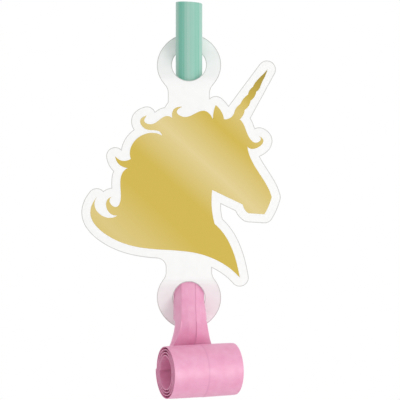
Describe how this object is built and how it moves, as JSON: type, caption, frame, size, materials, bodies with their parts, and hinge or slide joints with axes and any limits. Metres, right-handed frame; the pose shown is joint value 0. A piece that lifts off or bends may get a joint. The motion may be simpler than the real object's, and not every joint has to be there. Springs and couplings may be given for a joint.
{
  "type": "party blower",
  "caption": "Party blower: a straight mouthpiece tube with a hidden reed, a coiled paper tube that unrolls when blown, and a die-cut unicorn-head card threaded on the mouthpiece.",
  "frame": {"origin": "centre of the mouthpiece's mouth end, on its axis", "axes": "+Z out of the mouth along the mouthpiece, -Y towards the front of the card, +X to the figure's nose"},
  "size_m": [0.0573, 0.0234, 0.1141],
  "materials": {
    "mint_plastic": "glossy",
    "reed_plastic": "matte",
    "reed_film": "satin",
    "pink_paper": "satin",
    "recoil_film": "satin",
    "white_card": "matte",
    "gold_foil": "polished gold"
  },
  "bodies": {
    "mouthpiece": {"mouthpiece_tube": "mint_plastic", "reed_collar": "reed_plastic", "reed_trough": "reed_plastic", "paper_neck": "pink_paper", "recoil_strip_root": "recoil_film"},
    "reed": {"reed_tongue": "reed_film"},
    "medallion": {"medallion_card": "white_card", "gold_foil": "gold_foil"},
    "coil_01": {"coil_paper_01": "pink_paper", "recoil_strip_01": "recoil_film"},
    "coil_02": {"coil_paper_02": "pink_paper", "recoil_strip_02": "recoil_film"},
    "coil_03": {"coil_paper_03": "pink_paper", "recoil_strip_03": "recoil_film"},
    "coil_04": {"coil_paper_04": "pink_paper", "recoil_strip_04": "recoil_film"},
    "coil_05": {"coil_paper_05": "pink_paper", "recoil_strip_05": "recoil_film"},
    "coil_06": {"coil_paper_06": "pink_paper", "recoil_strip_06": "recoil_film"},
    "coil_07": {"coil_paper_07": "pink_paper", "recoil_strip_07": "recoil_film"},
    "coil_08": {"coil_paper_08": "pink_paper", "recoil_strip_08": "recoil_film"},
    "coil_09": {"coil_paper_09": "pink_paper", "recoil_strip_09": "recoil_film"},
    "coil_10": {"coil_paper_10": "pink_paper", "recoil_strip_10": "recoil_film"},
    "coil_11": {"coil_paper_11": "pink_paper", "recoil_strip_11": "recoil_film"},
    "coil_12": {"coil_paper_12": "pink_paper", "recoil_strip_12": "recoil_film"},
    "coil_13": {"coil_paper_13": "pink_paper", "recoil_strip_13": "recoil_film"},
    "coil_14": {"coil_paper_14": "pink_paper", "recoil_strip_14": "recoil_film"},
    "coil_15": {"coil_paper_15": "pink_paper", "recoil_strip_15": "recoil_film"},
    "coil_16": {"coil_paper_16": "pink_paper", "recoil_strip_16": "recoil_film"},
    "coil_17": {"coil_paper_17": "pink_paper", "recoil_strip_17": "recoil_film"},
    "coil_18": {"coil_paper_18": "pink_paper", "recoil_strip_18": "recoil_film"},
    "coil_19": {"coil_paper_19": "pink_paper", "recoil_strip_19": "recoil_film"},
    "coil_20": {"coil_paper_20": "pink_paper", "recoil_strip_20": "recoil_film"},
    "coil_21": {"coil_paper_21": "pink_paper", "recoil_strip_21": "recoil_film"},
    "coil_22": {"coil_paper_22": "pink_paper", "recoil_strip_22": "recoil_film"},
    "coil_23": {"coil_paper_23": "pink_paper", "recoil_strip_23": "recoil_film"},
    "coil_24": {"coil_paper_24": "pink_paper", "recoil_strip_24": "recoil_film"}
  },
  "joints": [
    {"name": "reed_beat", "type": "hinge", "parent": "mouthpiece", "child": "reed", "pos_m": [0, -0.00002, -0.0854], "axis": [-1, 0, 0], "range_deg": [0, 2], "stiffness_Nm_per_rad": 0.00002},
    {"name": "medallion_slide", "type": "slide", "parent": "mouthpiece", "child": "medallion", "axis": [0, 0, 1], "range_m": [0, 0.008]},
    {"name": "crease_01", "type": "hinge", "parent": "mouthpiece", "child": "coil_01", "pos_m": [0.00013, 0.00019, -0.106], "axis": [0.927, 0.3745, 0.0209], "range_deg": [0, 30], "stiffness_Nm_per_rad": 0.002},
    {"name": "crease_02", "type": "hinge", "parent": "coil_01", "child": "coil_02", "pos_m": [0.00174, -0.00342, -0.11284], "axis": [0.927, 0.3745, 0.0209], "range_deg": [0, 60], "stiffness_Nm_per_rad": 0.00192},
    {"name": "crease_03", "type": "hinge", "parent": "coil_02", "child": "coil_03", "pos_m": [0.00465, -0.01062, -0.11284], "axis": [0.927, 0.3745, 0.0209], "range_deg": [0, 60], "stiffness_Nm_per_rad": 0.00183},
    {"name": "crease_04", "type": "hinge", "parent": "coil_03", "child": "coil_04", "pos_m": [0.00595, -0.01421, -0.10624], "axis": [0.927, 0.3745, 0.0209], "range_deg": [0, 60], "stiffness_Nm_per_rad": 0.00175},
    {"name": "crease_05", "type": "hinge", "parent": "coil_04", "child": "coil_05", "pos_m": [0.00442, -0.01079, -0.09975], "axis": [0.927, 0.3745, 0.0209], "range_deg": [0, 60], "stiffness_Nm_per_rad": 0.00167},
    {"name": "crease_06", "type": "hinge", "parent": "coil_05", "child": "coil_06", "pos_m": [0.00166, -0.00397, -0.09975], "axis": [0.927, 0.3745, 0.0209], "range_deg": [0, 60], "stiffness_Nm_per_rad": 0.00158},
    {"name": "crease_07", "type": "hinge", "parent": "coil_06", "child": "coil_07", "pos_m": [0.00043, -0.00057, -0.106], "axis": [0.927, 0.3745, 0.0209], "range_deg": [0, 60], "stiffness_Nm_per_rad": 0.0015},
    {"name": "crease_08", "type": "hinge", "parent": "coil_07", "child": "coil_08", "pos_m": [0.00188, -0.00381, -0.11213], "axis": [0.927, 0.3745, 0.0209], "range_deg": [0, 60], "stiffness_Nm_per_rad": 0.00142},
    {"name": "crease_09", "type": "hinge", "parent": "coil_08", "child": "coil_09", "pos_m": [0.00448, -0.01025, -0.11213], "axis": [0.927, 0.3745, 0.0209], "range_deg": [0, 60], "stiffness_Nm_per_rad": 0.00133},
    {"name": "crease_10", "type": "hinge", "parent": "coil_09", "child": "coil_10", "pos_m": [0.00564, -0.01345, -0.10624], "axis": [0.927, 0.3745, 0.0209], "range_deg": [0, 60], "stiffness_Nm_per_rad": 0.00125},
    {"name": "crease_11", "type": "hinge", "parent": "coil_10", "child": "coil_11", "pos_m": [0.00428, -0.0104, -0.10046], "axis": [0.927, 0.3745, 0.0209], "range_deg": [0, 60], "stiffness_Nm_per_rad": 0.00117},
    {"name": "crease_12", "type": "hinge", "parent": "coil_11", "child": "coil_12", "pos_m": [0.00183, -0.00434, -0.10046], "axis": [0.927, 0.3745, 0.0209], "range_deg": [0, 60], "stiffness_Nm_per_rad": 0.00108},
    {"name": "crease_13", "type": "hinge", "parent": "coil_12", "child": "coil_13", "pos_m": [0.00074, -0.00134, -0.106], "axis": [0.927, 0.3745, 0.0209], "range_deg": [0, 60], "stiffness_Nm_per_rad": 0.001},
    {"name": "crease_14", "type": "hinge", "parent": "coil_13", "child": "coil_14", "pos_m": [0.00202, -0.00419, -0.11142], "axis": [0.927, 0.3745, 0.0209], "range_deg": [0, 60], "stiffness_Nm_per_rad": 0.000917},
    {"name": "crease_15", "type": "hinge", "parent": "coil_14", "child": "coil_15", "pos_m": [0.00431, -0.00987, -0.11142], "axis": [0.927, 0.3745, 0.0209], "range_deg": [0, 60], "stiffness_Nm_per_rad": 0.000833},
    {"name": "crease_16", "type": "hinge", "parent": "coil_15", "child": "coil_16", "pos_m": [0.00533, -0.01269, -0.10624], "axis": [0.927, 0.3745, 0.0209], "range_deg": [0, 60], "stiffness_Nm_per_rad": 0.00075},
    {"name": "crease_17", "type": "hinge", "parent": "coil_16", "child": "coil_17", "pos_m": [0.00414, -0.01002, -0.10117], "axis": [0.927, 0.3745, 0.0209], "range_deg": [0, 60], "stiffness_Nm_per_rad": 0.000667},
    {"name": "crease_18", "type": "hinge", "parent": "coil_17", "child": "coil_18", "pos_m": [0.002, -0.00472, -0.10117], "axis": [0.927, 0.3745, 0.0209], "range_deg": [0, 60], "stiffness_Nm_per_rad": 0.000583},
    {"name": "crease_19", "type": "hinge", "parent": "coil_18", "child": "coil_19", "pos_m": [0.00105, -0.0021, -0.106], "axis": [0.927, 0.3745, 0.0209], "range_deg": [0, 60], "stiffness_Nm_per_rad": 0.0005},
    {"name": "crease_20", "type": "hinge", "parent": "coil_19", "child": "coil_20", "pos_m": [0.00216, -0.00458, -0.11071], "axis": [0.927, 0.3745, 0.0209], "range_deg": [0, 60], "stiffness_Nm_per_rad": 0.000417},
    {"name": "crease_21", "type": "hinge", "parent": "coil_20", "child": "coil_21", "pos_m": [0.00414, -0.0095, -0.11071], "axis": [0.927, 0.3745, 0.0209], "range_deg": [0, 60], "stiffness_Nm_per_rad": 0.000333},
    {"name": "crease_22", "type": "hinge", "parent": "coil_21", "child": "coil_22", "pos_m": [0.00502, -0.01193, -0.10624], "axis": [0.927, 0.3745, 0.0209], "range_deg": [0, 60], "stiffness_Nm_per_rad": 0.00025},
    {"name": "crease_23", "type": "hinge", "parent": "coil_22", "child": "coil_23", "pos_m": [0.004, -0.00963, -0.10188], "axis": [0.927, 0.3745, 0.0209], "range_deg": [0, 60], "stiffness_Nm_per_rad": 0.000167},
    {"name": "crease_24", "type": "hinge", "parent": "coil_23", "child": "coil_24", "pos_m": [0.00216, -0.00509, -0.10188], "axis": [0.927, 0.3745, 0.0209], "range_deg": [0, 60], "stiffness_Nm_per_rad": 0.0000833}
  ],
  "couplings": [
    {"joint": "crease_02", "follows": "crease_01", "ratio": 2},
    {"joint": "crease_03", "follows": "crease_01", "ratio": 2},
    {"joint": "crease_04", "follows": "crease_01", "ratio": 2},
    {"joint": "crease_05", "follows": "crease_01", "ratio": 2},
    {"joint": "crease_06", "follows": "crease_01", "ratio": 2},
    {"joint": "crease_07", "follows": "crease_01", "ratio": 2},
    {"joint": "crease_08", "follows": "crease_01", "ratio": 2},
    {"joint": "crease_09", "follows": "crease_01", "ratio": 2},
    {"joint": "crease_10", "follows": "crease_01", "ratio": 2},
    {"joint": "crease_11", "follows": "crease_01", "ratio": 2},
    {"joint": "crease_12", "follows": "crease_01", "ratio": 2},
    {"joint": "crease_13", "follows": "crease_01", "ratio": 2},
    {"joint": "crease_14", "follows": "crease_01", "ratio": 2},
    {"joint": "crease_15", "follows": "crease_01", "ratio": 2},
    {"joint": "crease_16", "follows": "crease_01", "ratio": 2},
    {"joint": "crease_17", "follows": "crease_01", "ratio": 2},
    {"joint": "crease_18", "follows": "crease_01", "ratio": 2},
    {"joint": "crease_19", "follows": "crease_01", "ratio": 2},
    {"joint": "crease_20", "follows": "crease_01", "ratio": 2},
    {"joint": "crease_21", "follows": "crease_01", "ratio": 2},
    {"joint": "crease_22", "follows": "crease_01", "ratio": 2},
    {"joint": "crease_23", "follows": "crease_01", "ratio": 2},
    {"joint": "crease_24", "follows": "crease_01", "ratio": 2}
  ]
}
